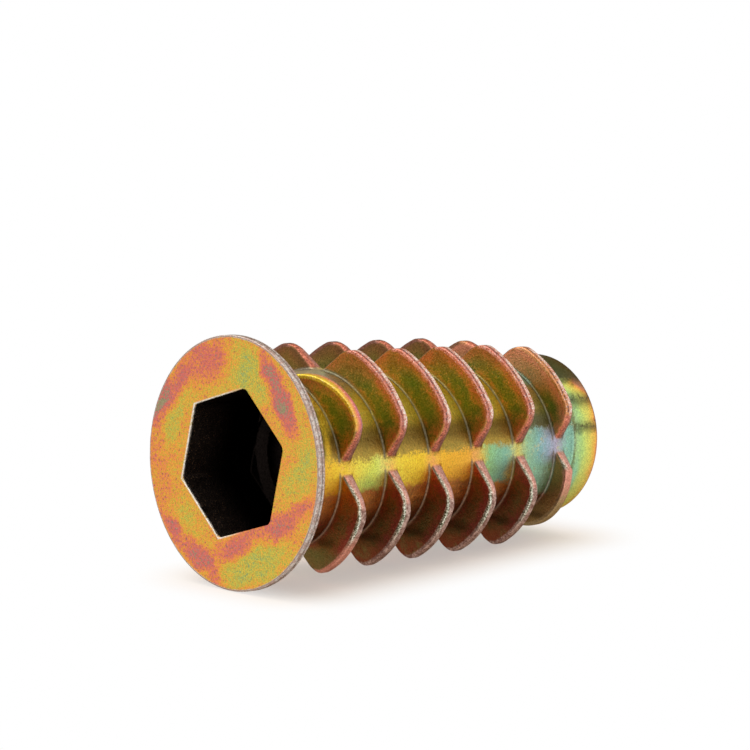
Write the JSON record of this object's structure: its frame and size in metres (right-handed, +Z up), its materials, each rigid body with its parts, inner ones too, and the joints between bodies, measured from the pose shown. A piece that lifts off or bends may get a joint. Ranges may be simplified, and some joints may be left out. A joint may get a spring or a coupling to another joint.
{
  "type": "threaded insert",
  "caption": "Flanged wood insert with a hexagonal drive socket, a tapped bore and a coarse outer thread broken into fins by lengthwise channels.",
  "frame": {"origin": "on the surface that the insert rests on, under the middle of its bounding box", "axes": "+X from the flange towards the tip, +Z up, +Y across; the insert's own axis dips 3.3 degrees from +X towards the tip, as it lies at rest on its flange's rim and its fins"},
  "size_m": [0.027, 0.015, 0.015],
  "materials": {
    "plated_zinc": "cast zinc alloy with yellow iridescent chromate, satin"
  },
  "bodies": {
    "root": {"insert": "plated_zinc"}
  },
  "joints": []
}
